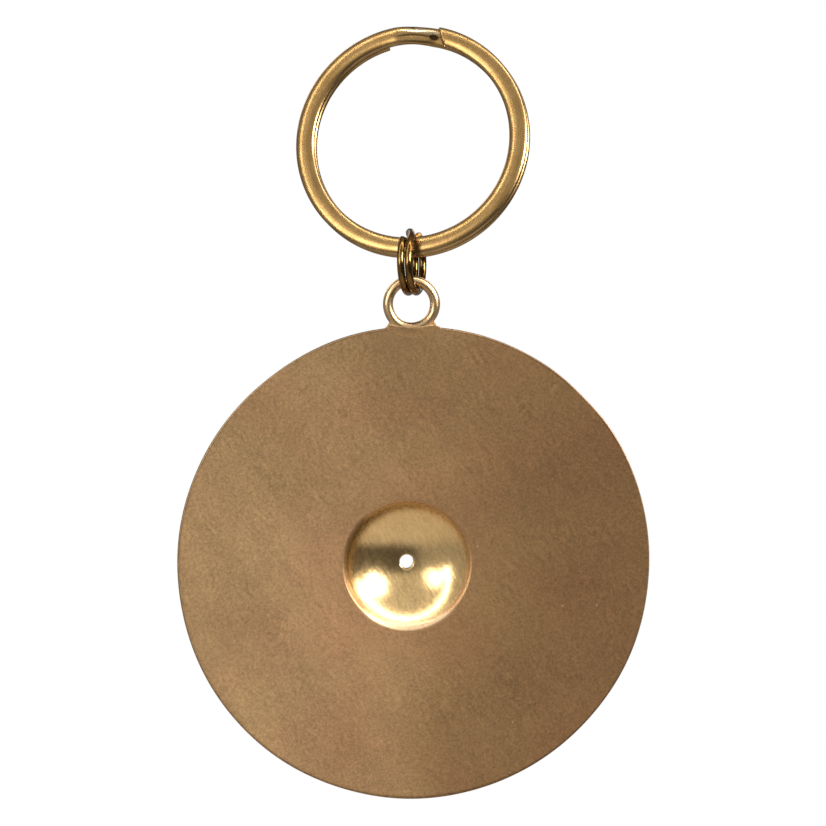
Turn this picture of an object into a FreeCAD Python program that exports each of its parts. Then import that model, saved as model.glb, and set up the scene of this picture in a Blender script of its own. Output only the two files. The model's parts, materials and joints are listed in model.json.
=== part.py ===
import FreeCAD, Part
import math
import os

import Sketcher

# A miniature tam-tam gong on a key ring, hanging at rest.
#
# Five pieces: a bronze disc with a domed boss, a wire eye brazed to the disc's top edge, the braze,
# a small split ring through the eye, and a large split key ring that holds the small one.
#
# Frame: +Z up, +Y from the disc's hollow front face to the back, where the boss stands out. The
# origin is the middle of the key ring's inner wall at its top, where the fob hangs from a hook.

Vector = FreeCAD.Vector
Rotation = FreeCAD.Rotation
UP = Vector(0, 0, 1)

DIMENSIONS = (
    # gong disc
    ("disc_radius", 25.0, "outer radius of the trimmed disc"),
    ("blank_radius", 26.5, "radius of the round blank before it is trimmed"),
    ("sheet_thickness", 0.8, "thickness of the bronze sheet"),
    ("bow_depth", 1.3, "depth of the front face at the boss's rim, below the blank's edge"),
    ("bow_radius", 500.0, "radius of the almost conical bow, in a plane through the axis"),
    ("boss_rim_radius", 6.75, "radius of the circle where the boss starts, on the front face"),
    ("boss_radius", 9.0, "spherical radius of the boss's hollow side"),
    ("hole_radius", 0.75, "radius of the hole through the middle of the boss"),
    ("rim_fillet", 0.5, "rounding where the sheet turns into the boss"),
    ("edge_fillet", 0.22, "rounding of the disc's outer edge"),
    ("disc_shift_side", 0.40, "how far the disc's centre lies to +X of the boss's axis"),
    ("disc_shift_up", 0.35, "how far the disc's centre lies above the boss's axis"),
    # eye ring and its brazed joint
    ("eye_radius", 2.475, "radius of the eye's wire centre line"),
    ("eye_wire_radius", 0.525, "radius of the eye's wire"),
    ("eye_above_disc", 27.5, "height of the eye's centre above the disc's centre"),
    ("eye_shift_side", 0.17, "how far the eye's centre lies to -X of the disc's centre"),
    ("eye_set_back", 0.48, "distance of the eye's plane behind the blank's front edge"),
    ("braze_gap", 0.15, "gap between the eye and the notch in the disc's edge, filled with braze"),
    ("braze_thickness", 1.35, "thickness of the braze from front to back"),
    ("braze_foot", 2.85, "half width of the braze where it meets the disc's edge"),
    ("braze_foot_drop", 2.68, "depth of the braze's feet below the eye's centre"),
    ("braze_shoulder", 2.42, "half width of the braze where it meets the eye's outside"),
    ("braze_shoulder_drop", 1.98, "depth of the braze's shoulders below the eye's centre"),
    ("braze_lip", 1.6, "half width of the level lip across the eye's lowest wire"),
    ("braze_lip_drop", 2.24, "depth of the lip below the eye's centre"),
    ("braze_bottom_drop", 3.55, "depth of the braze's lowest point below the eye's centre"),
    ("braze_fillet", 0.12, "rounding of the braze's front and back edges"),
    # small split ring
    ("link_radius", 3.15, "radius of the small ring's wire centre line"),
    ("link_wire_radius", 0.40, "radius of the small ring's wire"),
    ("link_pitch", 0.84, "distance between the centre lines of the small ring's two turns"),
    ("link_crossing", 56.0, "angle over which the small ring's wire crosses from turn to turn"),
    ("link_end_gap", 5.0, "angle between the small ring's crossing and each free end"),
    ("link_yaw", 18.8, "turn of the small ring's plane about +Z, away from the YZ plane"),
    ("link_lean", 2.6, "sideways lean of the small ring, its top towards -X"),
    ("link_shift", 0.72, "how far the small ring rests to +X of the key ring's lowest point"),
    # key ring
    ("key_ring_radius", 12.5, "outer radius of the key ring"),
    ("key_coil_width", 2.0, "radial width of each coil"),
    ("key_coil_thickness", 0.98, "axial thickness of each coil"),
    ("key_coil_gap", 0.04, "running gap between the two coils"),
    ("key_coil_corner", 0.33, "rounding along each coil's four edges"),
    ("key_crossing", 25.0, "angle over which the strip crosses from coil to coil"),
    ("key_end_gap", 3.0, "angle between the crossing and each free end"),
    ("key_crossing_start", 104.0, "angle of the crossing's front end, from the ring's level radius"),
    ("key_yaw", 18.5, "turn of the key ring about +Z, its face towards -X"),
    ("key_pitch", 18.7, "backward lean of the key ring's top"),
    # rings in each other
    ("link_clearance", 0.13, "gap left where one ring rests in the next"),
    ("eye_drop", 0.13, "how far the eye's wire rides higher across two turns than over one"),
)


SIZE = {alias: value for alias, value, meaning in DIMENSIONS}


def make_sheet(doc):
    """The spreadsheet that holds every driving dimension."""
    sheet = doc.addObject("Spreadsheet::Sheet", "Sizes")
    for row, (alias, value, meaning) in enumerate(DIMENSIONS, start=1):
        sheet.set(f"A{row}", alias)
        sheet.set(f"B{row}", str(value))
        sheet.set(f"C{row}", meaning)
        sheet.setAlias(f"B{row}", alias)
    doc.recompute()
    return sheet


def bind(feature, **cells):
    """Bind each named property of a feature to an expression of the sheet's cells."""
    for name, expression in cells.items():
        feature.setExpression(name, expression)


def new_body(doc, name):
    body = doc.addObject("PartDesign::Body", name)
    body.Label = name
    return body


def origin_plane(body, role):
    return next(item for item in body.Origin.OriginFeatures if item.Role == role)


def new_sketch(body, name, role):
    sketch = body.newObject("Sketcher::SketchObject", name)
    sketch.AttachmentSupport = [(origin_plane(body, role), "")]
    sketch.MapMode = "FlatFace"
    return sketch


def constrain(sketch, kind, *where, name=None, value=None):
    """Add a constraint, and bind its size to an expression where it has a name."""
    if name is None:
        sketch.addConstraint(Sketcher.Constraint(kind, *where))
        return
    sketch.addConstraint(Sketcher.Constraint(kind, *where, float(sketch.evalExpression(value))))
    sketch.renameConstraint(sketch.ConstraintCount - 1, name)
    sketch.setExpression(f"Constraints.{name}", value)


def feature(body, kind, name, **properties):
    made = body.newObject(kind, name)
    for key, value in properties.items():
        setattr(made, key, value)
    return made


def edge_names(shape, wanted):
    """Names of the edges of a shape that the test `wanted` accepts."""
    return [f"Edge{n}" for n, edge in enumerate(shape.Edges, start=1) if wanted(edge)]


def strip_section(sketch, inner, outer, low, high, corner):
    """A rectangle with four rounded corners: sides at radii inner and outer, faces at low and high."""
    x0, x1, z0, z1, bend = (sketch.evalExpression(size) for size in (inner, outer, low, high, corner))
    corners = ((x1 - bend, z0 + bend, 270), (x1 - bend, z1 - bend, 0),
               (x0 + bend, z1 - bend, 90), (x0 + bend, z0 + bend, 180))
    lines = (((x0 + bend, z0), (x1 - bend, z0)), ((x1, z0 + bend), (x1, z1 - bend)),
             ((x1 - bend, z1), (x0 + bend, z1)), ((x0, z1 - bend), (x0, z0 + bend)))
    for (x, z, start), (begin, end) in zip(corners, lines):
        sketch.addGeometry(Part.LineSegment(Vector(*begin, 0), Vector(*end, 0)))
        circle = Part.Circle(Vector(x, z, 0), Vector(0, 0, 1), bend)
        sketch.addGeometry(Part.ArcOfCircle(circle, math.radians(start), math.radians(start + 90)))
    for line, arc, following in ((0, 1, 2), (2, 3, 4), (4, 5, 6), (6, 7, 0)):
        constrain(sketch, "Tangent", line, 2, arc, 1)
        constrain(sketch, "Tangent", arc, 2, following, 1)
        if arc > 1:
            constrain(sketch, "Equal", 1, arc)
    constrain(sketch, "Horizontal", 0)
    constrain(sketch, "Vertical", 2)
    constrain(sketch, "Horizontal", 4)
    constrain(sketch, "Vertical", 6)
    constrain(sketch, "DistanceX", -1, 1, 6, 2, name="inner", value=inner)
    constrain(sketch, "DistanceX", -1, 1, 2, 1, name="outer", value=outer)
    constrain(sketch, "DistanceY", -1, 1, 0, 1, name="low", value=low)
    constrain(sketch, "DistanceY", -1, 1, 4, 1, name="high", value=high)
    constrain(sketch, "Radius", 1, name="corner", value=corner)


def key_section(sketch):
    strip_section(sketch, "Sizes.key_ring_radius - Sizes.key_coil_width", "Sizes.key_ring_radius",
                  "Sizes.key_coil_gap / 2", "Sizes.key_coil_gap / 2 + Sizes.key_coil_thickness",
                  "Sizes.key_coil_corner")


def bound_circle(sketch, across, up, radius):
    """A circle with its centre and radius bound to expressions."""
    x, y, size = (float(sketch.evalExpression(item)) for item in (across, up, radius))
    circle = sketch.addGeometry(Part.Circle(Vector(x, y, 0), UP, size))
    constrain(sketch, "DistanceX", -1, 1, circle, 3, name=f"across_{circle}", value=across)
    constrain(sketch, "DistanceY", -1, 1, circle, 3, name=f"up_{circle}", value=up)
    constrain(sketch, "Radius", circle, name=f"radius_{circle}", value=radius)


def link_section(sketch):
    bound_circle(sketch, "Sizes.link_radius", "Sizes.link_pitch / 2", "Sizes.link_wire_radius")


def split_ring(doc, name, draw_section, pitch, crossing, end_gap):
    """A two-turn split ring about its own +Z.

    The upper turn runs counter-clockwise from +X. At +X the wire also runs clockwise, and drops
    by one pitch over the crossing's angle to the lower turn, which goes on clockwise. Each turn
    ends a small gap short of the crossing.
    """
    body = new_body(doc, name)
    turn = f"360 deg - ({crossing} + {end_gap}) * 1 deg"

    upper_section = new_sketch(body, f"{name}_upper_section", "XZ_Plane")
    draw_section(upper_section)
    doc.recompute()
    upper = feature(body, "PartDesign::Revolution", f"{name}_upper_turn", Profile=upper_section,
                    ReferenceAxis=(upper_section, ["V_Axis"]), Reversed=False)
    bind(upper, Angle=turn)
    doc.recompute()

    crossover = feature(body, "PartDesign::AdditiveHelix", f"{name}_crossing", Profile=upper_section,
                        ReferenceAxis=(upper_section, ["V_Axis"]), Mode="height-turns-angle",
                        LeftHanded=False, Reversed=True)
    bind(crossover, Height=pitch, Turns=f"{crossing} / 360")
    doc.recompute()

    lower_section = new_sketch(body, f"{name}_lower_section", "XZ_Plane")
    draw_section(lower_section)
    bind(lower_section, **{".AttachmentOffset.Base.y": f"-({pitch})",
                           ".AttachmentOffset.Rotation.Axis.x": "0",
                           ".AttachmentOffset.Rotation.Axis.y": "1",
                           ".AttachmentOffset.Rotation.Axis.z": "0",
                           ".AttachmentOffset.Rotation.Angle": f"-{crossing} * 1 deg"})
    doc.recompute()
    lower = feature(body, "PartDesign::Revolution", f"{name}_lower_turn", Profile=lower_section,
                    ReferenceAxis=(lower_section, ["V_Axis"]), Reversed=True)
    bind(lower, Angle=turn)
    doc.recompute()
    return body


def disc_section(sketch):
    """Half section of the sheet through the boss's axis: x is the radius, y runs to the back."""
    rim, depth, blank = SIZE["boss_rim_radius"], SIZE["bow_depth"], SIZE["blank_radius"]
    bow, boss, hole = SIZE["bow_radius"], SIZE["boss_radius"], SIZE["hole_radius"]
    sheet = SIZE["sheet_thickness"]
    boss_centre = Vector(0, depth - math.sqrt(boss ** 2 - rim ** 2), 0)
    slant = Vector(blank - rim, -depth, 0)
    below = Vector(slant.y, -slant.x, 0).normalize()
    bow_centre = Vector(rim, depth, 0) + slant / 2 + below * math.sqrt(bow ** 2 - slant.Length ** 2 / 4)

    def arc(centre, radius, begin, end):
        circle = Part.Circle(centre, UP, radius)
        angles = (math.atan2(y - centre.y, x - centre.x) for x, y in (begin, end))
        sketch.addGeometry(Part.ArcOfCircle(circle, *angles))

    hole_front = (hole, boss_centre.y + boss)
    hole_back = (hole, boss_centre.y + boss + sheet)
    rim_back = (rim + sheet / 2, depth + sheet)
    arc(bow_centre, bow, (blank, 0), (rim, depth))
    arc(boss_centre, boss, (rim, depth), hole_front)
    sketch.addGeometry(Part.LineSegment(Vector(*hole_front, 0), Vector(*hole_back, 0)))
    arc(boss_centre, boss + sheet, rim_back, hole_back)
    arc(bow_centre, bow + sheet, (blank, sheet), rim_back)
    sketch.addGeometry(Part.LineSegment(Vector(blank, sheet, 0), Vector(blank, 0, 0)))

    for first, first_end, second, second_end in ((0, 2, 1, 1), (1, 2, 2, 1), (2, 2, 3, 2),
                                                 (3, 1, 4, 2), (4, 1, 5, 1), (5, 2, 0, 1)):
        constrain(sketch, "Coincident", first, first_end, second, second_end)
    constrain(sketch, "Coincident", 0, 3, 4, 3)
    constrain(sketch, "Coincident", 1, 3, 3, 3)
    constrain(sketch, "Vertical", 2)
    constrain(sketch, "Vertical", 5)
    constrain(sketch, "PointOnObject", 1, 3, -2)
    constrain(sketch, "PointOnObject", 0, 1, -1)
    constrain(sketch, "DistanceX", -1, 1, 1, 2, name="hole", value="Sizes.hole_radius")
    constrain(sketch, "DistanceX", -1, 1, 0, 1, name="blank", value="Sizes.blank_radius")
    constrain(sketch, "DistanceX", -1, 1, 0, 2, name="rim", value="Sizes.boss_rim_radius")
    constrain(sketch, "DistanceY", -1, 1, 0, 2, name="depth", value="Sizes.bow_depth")
    constrain(sketch, "Radius", 0, name="bow", value="Sizes.bow_radius")
    constrain(sketch, "Radius", 1, name="boss", value="Sizes.boss_radius")
    constrain(sketch, "Radius", 3, name="boss_back", value="Sizes.boss_radius + Sizes.sheet_thickness")
    constrain(sketch, "Radius", 4, name="bow_back", value="Sizes.bow_radius + Sizes.sheet_thickness")


def make_disc(doc):
    """The gong: a bowed sheet with a domed boss, about the boss's axis along +Y."""
    body = new_body(doc, "gong_disc")
    section = new_sketch(body, "disc_section", "XY_Plane")
    disc_section(section)
    doc.recompute()
    blank = feature(body, "PartDesign::Revolution", "blank", Profile=section,
                    ReferenceAxis=(section, ["V_Axis"]), Angle=360)
    doc.recompute()

    turns = edge_names(blank.Shape, at_boss_rim)
    rim = feature(body, "PartDesign::Fillet", "boss_rim", Base=(blank, turns))
    bind(rim, Radius="Sizes.rim_fillet")
    doc.recompute()

    outline = new_sketch(body, "disc_outline", "XZ_Plane")
    bound_circle(outline, "Sizes.disc_shift_side", "Sizes.disc_shift_up", "Sizes.disc_radius")
    bound_circle(outline, "0", "0", "Sizes.blank_radius + 1")
    doc.recompute()
    trimmed = feature(body, "PartDesign::Pocket", "trimmed", Profile=outline, Type="ThroughAll",
                      SideType="Symmetric")
    doc.recompute()

    edges = edge_names(trimmed.Shape, lambda edge: edge.BoundBox.XLength > 1.8 * SIZE["disc_radius"])
    rounded = feature(body, "PartDesign::Fillet", "rounded_edge", Base=(trimmed, edges))
    bind(rounded, Radius="Sizes.edge_fillet")
    doc.recompute()

    seat = new_sketch(body, "eye_seat", "XZ_Plane")
    bound_circle(seat, "Sizes.disc_shift_side - Sizes.eye_shift_side",
                 "Sizes.disc_shift_up + Sizes.eye_above_disc",
                 "Sizes.eye_radius + Sizes.eye_wire_radius + Sizes.braze_gap")
    doc.recompute()
    feature(body, "PartDesign::Pocket", "notch", Profile=seat, Type="ThroughAll",
            SideType="Symmetric")
    doc.recompute()
    return body


def at_boss_rim(edge):
    """Whether an edge is one of the two circles where the sheet turns into the boss."""
    rim, sheet = SIZE["boss_rim_radius"], SIZE["sheet_thickness"]
    return isinstance(edge.Curve, Part.Circle) and abs(edge.Curve.Radius - rim) < sheet


def make_eye(doc):
    """The eye: one closed ring of round wire about its own +Z."""
    eye = doc.addObject("Part::Torus", "eye_ring")
    eye.Label = "eye_ring"
    bind(eye, Radius1="Sizes.eye_radius", Radius2="Sizes.eye_wire_radius")
    return eye


def make_braze(doc, eye, disc):
    """The braze: a small web round the eye's lowest wire, cut away where the eye and disc are."""
    web = new_body(doc, "braze_web")
    outline = new_sketch(web, "braze_outline", "XZ_Plane")
    right = [Vector(SIZE[f"braze_{place}"], -SIZE[f"braze_{place}_drop"], 0)
             for place in ("lip", "shoulder", "foot")]
    points = [Vector(-point.x, point.y, 0) for point in reversed(right)] + right
    for begin, end in zip(points, points[1:]):
        outline.addGeometry(Part.LineSegment(begin, end))
    bottom = Vector(0, -SIZE["braze_bottom_drop"], 0)
    outline.addGeometry(Part.LineSegment(points[-1], bottom))
    outline.addGeometry(Part.LineSegment(bottom, points[0]))
    for line in range(7):
        constrain(outline, "Coincident", line, 2, (line + 1) % 7, 1)
    for left, right_line in ((2, 2), (1, 3), (0, 4)):
        constrain(outline, "Symmetric", left, 1, right_line, 2, -2)
    for line, place in ((2, "lip"), (3, "shoulder"), (4, "foot")):
        constrain(outline, "DistanceX", -1, 1, line, 2, name=place, value=f"Sizes.braze_{place}")
        constrain(outline, "DistanceY", line, 2, -1, 1, name=f"{place}_drop",
                  value=f"Sizes.braze_{place}_drop")
    constrain(outline, "PointOnObject", 5, 2, -2)
    constrain(outline, "DistanceY", 5, 2, -1, 1, name="bottom", value="Sizes.braze_bottom_drop")
    doc.recompute()
    slab = feature(web, "PartDesign::Pad", "braze_slab", Profile=outline, SideType="Symmetric")
    bind(slab, Length="Sizes.braze_thickness")
    doc.recompute()
    softened = feature(web, "PartDesign::Fillet", "braze_softened", Base=(slab, level_edges(slab.Shape)))
    bind(softened, Radius="Sizes.braze_fillet")
    web.Placement = eye_frame(Rotation())
    doc.recompute()

    without_eye = cut(doc, "braze_round_eye", web, eye)
    braze = cut(doc, "braze_joint", without_eye, disc)
    doc.recompute()
    return braze


def level_edges(shape):
    """The edges of an upright slab's front and back outlines."""
    return edge_names(shape, lambda edge: edge.BoundBox.YLength < 0.001)


def cut(doc, name, base, tool):
    made = doc.addObject("Part::Cut", name)
    made.Label = name
    made.Base = base
    made.Tool = tool
    return made


# Where each piece hangs. The key ring is turned about +Z and leans back, and the small ring and the
# gong rest in it one below the other.

ACROSS = Vector(1, 0, 0)
BACK = Vector(0, 1, 0)
KEY_TURN = Rotation(UP, -SIZE["key_yaw"]) * Rotation(ACROSS, 90 - SIZE["key_pitch"])
LINK_TURN = (Rotation(UP, -SIZE["link_yaw"]) * Rotation(BACK, -SIZE["link_lean"])
             * Rotation(UP, -90) * Rotation(ACROSS, 90))
LINK_INNER = SIZE["link_radius"] - SIZE["link_wire_radius"]


def key_centre():
    inner_wall = SIZE["key_ring_radius"] - SIZE["key_coil_width"]
    return KEY_TURN.multVec(Vector(0, -inner_wall, 0))


def highest_on_key_ring():
    """The highest point of the key ring's lowest stretch, where the small ring rests."""
    inward, axial = KEY_TURN.multVec(BACK), KEY_TURN.multVec(UP)
    half_width = SIZE["key_coil_width"] / 2
    half_depth = SIZE["key_coil_thickness"] + SIZE["key_coil_gap"] / 2
    corner = SIZE["key_coil_corner"]
    middle = key_centre() - inward * (SIZE["key_ring_radius"] - half_width)
    return (middle + inward * (half_width - corner + corner * inward.z)
            + axial * (half_depth - corner + corner * axial.z))


def link_centre():
    aside = KEY_TURN.multVec(ACROSS) * SIZE["link_shift"]
    up_the_ring = LINK_TURN.multVec(BACK)
    return (highest_on_key_ring() + aside + UP * SIZE["link_clearance"]
            - up_the_ring * LINK_INNER)


def link_pivot():
    """Middle of the small ring's wire where it rests on the key ring."""
    return link_centre() + LINK_TURN.multVec(BACK) * SIZE["link_radius"]


def eye_pivot():
    """Middle of the eye's wire where it rests in the small ring."""
    rest = LINK_INNER - SIZE["link_clearance"] - SIZE["eye_drop"] - SIZE["eye_wire_radius"]
    return link_centre() - LINK_TURN.multVec(BACK) * rest


def eye_frame(turn):
    return FreeCAD.Placement(eye_pivot() - UP * SIZE["eye_radius"], turn)


def disc_placement():
    aside = SIZE["eye_shift_side"] - SIZE["disc_shift_side"]
    below = SIZE["eye_above_disc"] + SIZE["disc_shift_up"]
    return FreeCAD.Placement(eye_frame(Rotation()).Base + Vector(aside, -SIZE["eye_set_back"], -below),
                             Rotation())


def check(doc, nodes):
    """Stop if any object failed, or a sub-part isn't one valid closed solid."""
    failed = [item.Name for item in doc.Objects if {"Invalid", "Error"} & set(item.State)]
    if failed:
        raise RuntimeError(f"failed objects: {failed}")
    for node in nodes:
        shape = node.Shape
        if shape.isNull() or not shape.isValid() or len(shape.Solids) != 1:
            raise RuntimeError(f"{node.Label} isn't one valid solid")
        print(f"{node.Label}: {shape.Volume:.2f} mm3")


def report_places():
    """Print the points that the record states, in metres."""
    places = (("key ring centre", key_centre()), ("small ring hinge", link_pivot()),
              ("small ring hinge axis", LINK_TURN.multVec(ACROSS) * 1000),
              ("gong hinge", eye_pivot()), ("hole axis at the sheet", disc_placement().Base))
    for name, place in places:
        print(name, [round(value / 1000, 6) for value in place])


def main():
    doc = FreeCAD.newDocument("MiniatureGong")
    make_sheet(doc)

    key_ring = split_ring(doc, "key_ring", key_section, "Sizes.key_coil_thickness + Sizes.key_coil_gap",
                          "Sizes.key_crossing", "Sizes.key_end_gap")
    key_ring.Placement = FreeCAD.Placement(key_centre(),
                                           KEY_TURN * Rotation(UP, SIZE["key_crossing_start"]))

    small_ring = split_ring(doc, "small_split_ring", link_section, "Sizes.link_pitch",
                            "Sizes.link_crossing", "Sizes.link_end_gap")
    crossing_start = 90 + SIZE["link_crossing"] / 2
    small_ring.Placement = FreeCAD.Placement(link_centre(), LINK_TURN * Rotation(UP, crossing_start))

    disc = make_disc(doc)
    disc.Placement = disc_placement()
    eye = make_eye(doc)
    eye.Placement = eye_frame(Rotation(ACROSS, 90))
    doc.recompute()
    braze = make_braze(doc, eye, disc)

    nodes = (key_ring, small_ring, eye, braze, disc)
    check(doc, nodes)
    report_places()
    os.makedirs("parts", exist_ok=True)
    for node in nodes:
        node.Shape.exportStep(f"parts/{node.Label}.step")


main()
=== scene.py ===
"""Looks of the miniature tam-tam gong key fob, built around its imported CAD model.

Lengths are in millimetres, and become metres as a mesh or lamp is made. Where a length is in
metres already, a comment says so.
"""

import functools
import json
import math
from collections import namedtuple

import bpy
import numpy as np
from mathutils import Matrix, Vector


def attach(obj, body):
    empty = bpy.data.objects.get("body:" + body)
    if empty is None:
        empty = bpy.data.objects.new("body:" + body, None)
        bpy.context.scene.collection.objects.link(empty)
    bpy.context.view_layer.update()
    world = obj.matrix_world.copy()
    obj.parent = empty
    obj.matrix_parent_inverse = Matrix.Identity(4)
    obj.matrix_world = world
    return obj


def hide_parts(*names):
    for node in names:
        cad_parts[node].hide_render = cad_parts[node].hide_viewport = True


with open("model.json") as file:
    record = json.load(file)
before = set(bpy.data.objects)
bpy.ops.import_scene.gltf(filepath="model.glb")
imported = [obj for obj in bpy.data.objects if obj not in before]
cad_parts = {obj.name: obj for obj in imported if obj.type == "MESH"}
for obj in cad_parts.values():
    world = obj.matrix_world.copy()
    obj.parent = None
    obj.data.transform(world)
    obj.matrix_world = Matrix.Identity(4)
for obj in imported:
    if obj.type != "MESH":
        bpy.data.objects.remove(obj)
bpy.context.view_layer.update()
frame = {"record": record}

MM = 0.001
RECORD = frame["record"]
JOINTS = {joint["name"]: joint for joint in RECORD["behaviour"]["joints"]}
MOUNTS = {mount["name"]: mount for mount in RECORD["mounts"]}


# Places and directions, from the CAD model's record.

def in_mm(point):
    return np.array(point, float) / MM


def turned_face(yaw, pitch):
    """Level, upward and outward directions of a ring facing -Y, turned about +Z, leaning back."""
    yaw, pitch = math.radians(yaw), math.radians(pitch)
    level = np.array([math.cos(yaw), -math.sin(yaw), 0.0])
    outward = np.array([-math.sin(yaw) * math.cos(pitch), -math.cos(yaw) * math.cos(pitch),
                        math.sin(pitch)])
    return level, np.cross(outward, level), outward


KEY_INNER_RADIUS = 10.5
KEY_AXES = turned_face(yaw=18.5, pitch=18.7)
KEY_CENTRE = in_mm(MOUNTS["key_ring_hang"]["pos_m"]) - KEY_AXES[1] * KEY_INNER_RADIUS

LINK_RADIUS = 3.15
LINK_LEAN = math.radians(2.6)
LINK_TOWARD = np.array(JOINTS["small_ring_swing"]["axis"], float)
LINK_UP = (np.array([0.0, 0.0, 1.0]) * math.cos(LINK_LEAN)
           - np.cross([0.0, 0.0, 1.0], LINK_TOWARD) * math.sin(LINK_LEAN))
LINK_AXES = (LINK_TOWARD, LINK_UP, np.cross(LINK_TOWARD, LINK_UP))
LINK_CENTRE = in_mm(JOINTS["small_ring_swing"]["pos_m"]) - LINK_UP * LINK_RADIUS

EYE_RADIUS, EYE_WIRE = 2.475, 0.525
EYE_CENTRE = in_mm(JOINTS["gong_swing"]["pos_m"]) - np.array([0.0, 0.0, EYE_RADIUS])
EYE_AXES = (np.array([1.0, 0, 0]), np.array([0, 0, 1.0]), np.array([0, -1.0, 0]))

# The sheet's depths are behind the plane of its blank's edge. The hole's mount is in the middle of
# the sheet's thickness.
HOLE_MIDDLE = in_mm(MOUNTS["centre_hole"]["pos_m"])
HOLE_RADIUS = 0.75
BOSS_RADIUS, BOW_DEPTH, BOSS_RIM = 9.0, 1.3, 6.75
THICKNESS = 0.8
BOSS_CENTRE_DEPTH = BOW_DEPTH - math.sqrt(BOSS_RADIUS ** 2 - BOSS_RIM ** 2)
FRONT_PLANE = HOLE_MIDDLE[1] - BOSS_CENTRE_DEPTH - (
    math.sqrt(BOSS_RADIUS ** 2 - HOLE_RADIUS ** 2)
    + math.sqrt((BOSS_RADIUS + THICKNESS) ** 2 - HOLE_RADIUS ** 2)) / 2
BOSS_AXIS = np.array([HOLE_MIDDLE[0], FRONT_PLANE, HOLE_MIDDLE[2]])


# Meshes.

# Each piece's body, the CAD node that it stands for, and its material slot.
PIECES = {
    "key_ring_coils": ("key_ring", "key_ring", "key_ring_brass"),
    "small_ring_coils": ("small_ring", "small_split_ring", "small_ring_brass"),
    "eye_wire": ("gong", "eye_ring", "eye_brass"),
    "braze_fillet": ("gong", "braze_joint", "braze"),
    "gong_sheet": ("gong", "gong_disc", "gong_bronze"),
}


def smoothstep(value):
    value = np.clip(value, 0, 1)
    return value * value * (3 - 2 * value)


def full_turn(count):
    return np.arange(count) / count * 2 * math.pi


def grid_faces(rows, columns, wrap_rows, wrap_columns):
    """Quads between neighbouring points of a rows x columns grid."""
    row = np.arange(rows if wrap_rows else rows - 1)[:, None]
    column = np.arange(columns if wrap_columns else columns - 1)[None, :]
    after, beside = (row + 1) % rows, (column + 1) % columns
    corners = (row * columns + column, row * columns + beside,
               after * columns + beside, after * columns + column)
    return np.stack([np.broadcast_to(corner, (row.size, column.size)) for corner in corners],
                    axis=-1).reshape(-1, 4).tolist()


def add_piece(name, points, faces, material, strip=None):
    """A smooth mesh that stands for one CAD node. strip gives each point's place on its wire."""
    body, node, slot = PIECES[name]
    mesh = bpy.data.meshes.new(name)
    mesh.from_pydata((points.reshape(-1, 3) * MM).tolist(), [], faces)
    mesh.validate()
    mesh.shade_smooth()
    if strip is not None:
        attribute = mesh.attributes.new("strip", "FLOAT_VECTOR", "POINT")
        attribute.data.foreach_set("vector", np.asarray(strip, np.float32).ravel())
    mesh.materials.append(material)
    piece = bpy.data.objects.new(name, mesh)
    bpy.context.scene.collection.objects.link(piece)
    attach(piece, body)
    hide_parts(node)


# The rings.

# A two-turn split ring: its wire's middle radius, the planes of its lower and upper turns, the
# angles in degrees of its lower free end, its crossing's low and high ends and its upper free end,
# the depth of the fold along the crossing, the strip's twist there in degrees, each free end's
# rounding and how far its inner side runs on, and the degrees between rows of points.
Coil = namedtuple("Coil", "radius planes angles crease twist ends step")

KEY_COIL = Coil(radius=11.5, planes=(-0.51, 0.51), angles=(-251.6, 80.0, 104.0, 438.5),
                crease=0.06, twist=12.0, ends=((0.10, 0.0), (0.34, -0.60)), step=1.0)
LINK_COIL = Coil(radius=LINK_RADIUS, planes=(-0.42, 0.42), angles=(-237.0, 62.0, 118.0, 417.0),
                 crease=0.0, twist=0.0, ends=((0.10, 0.0), (0.10, 0.0)), step=2.0)
KEY_HALF_WIDTH, KEY_HALF_DEPTH, KEY_SQUARENESS = 1.0, 0.49, 2.2
LINK_WIRE = 0.395

END_STEPS = 8  # rows of points round a free end's rounding
END_GAP = 0.2  # least degrees between that rounding and the next row
SLANT_LENGTH = 1.2  # how far along the wire a free end's slant fades out
FOLD_PLACE, FOLD_WIDTH = -0.22, 0.13  # across the strip


def barrel_section(half_width, half_depth, squareness, count=44):
    """Points round a flattened wire: a rounded oval, squarer than an ellipse."""
    turn = full_turn(count)
    cosine, sine = np.cos(turn), np.sin(turn)
    power = 2 / squareness
    return np.stack([half_width * np.sign(cosine) * np.abs(cosine) ** power,
                     half_depth * np.sign(sine) * np.abs(sine) ** power], axis=-1)


def round_section(radius, count, ripple=0.0):
    """Points round a round wire, with a slight ripple as a share of its radius."""
    turn = full_turn(count)
    size = radius * (1 + ripple * np.cos(3 * turn + 0.7) + ripple / 2 * np.cos(7 * turn))
    return np.stack([size * np.cos(turn), size * np.sin(turn)], axis=-1)


def rounded_ends(coil):
    """Angles along a coil in degrees, and at each one the free ends' inset and slant."""
    lower_end, _, _, upper_end = coil.angles
    count = int((upper_end - lower_end) / coil.step) + 1
    angle = np.linspace(lower_end, upper_end, count)
    inset, slant = np.zeros(count), np.zeros(count)
    turn = np.linspace(0, math.pi / 2, END_STEPS)

    for edge, inward, (rounding, skew) in zip((lower_end, upper_end), (1, -1), coil.ends):
        rise = np.degrees(rounding * np.sin(turn) / coil.radius)
        keep = inward * (angle - edge) > rise[-1] + END_GAP
        angle, inset, slant = angle[keep], inset[keep], slant[keep]
        away = np.radians(np.abs(angle - edge)) * coil.radius
        slant = slant + skew * np.maximum(1 - away / SLANT_LENGTH, 0)
        tips = (edge + inward * (rise[-1] - rise), rounding * (1 - np.cos(turn)),
                np.full(END_STEPS, skew))
        angle, inset, slant = (np.concatenate([kept[::-inward], tip])[::-inward]
                               for kept, tip in zip((angle, inset, slant), tips))
    return angle, inset, slant


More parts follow.
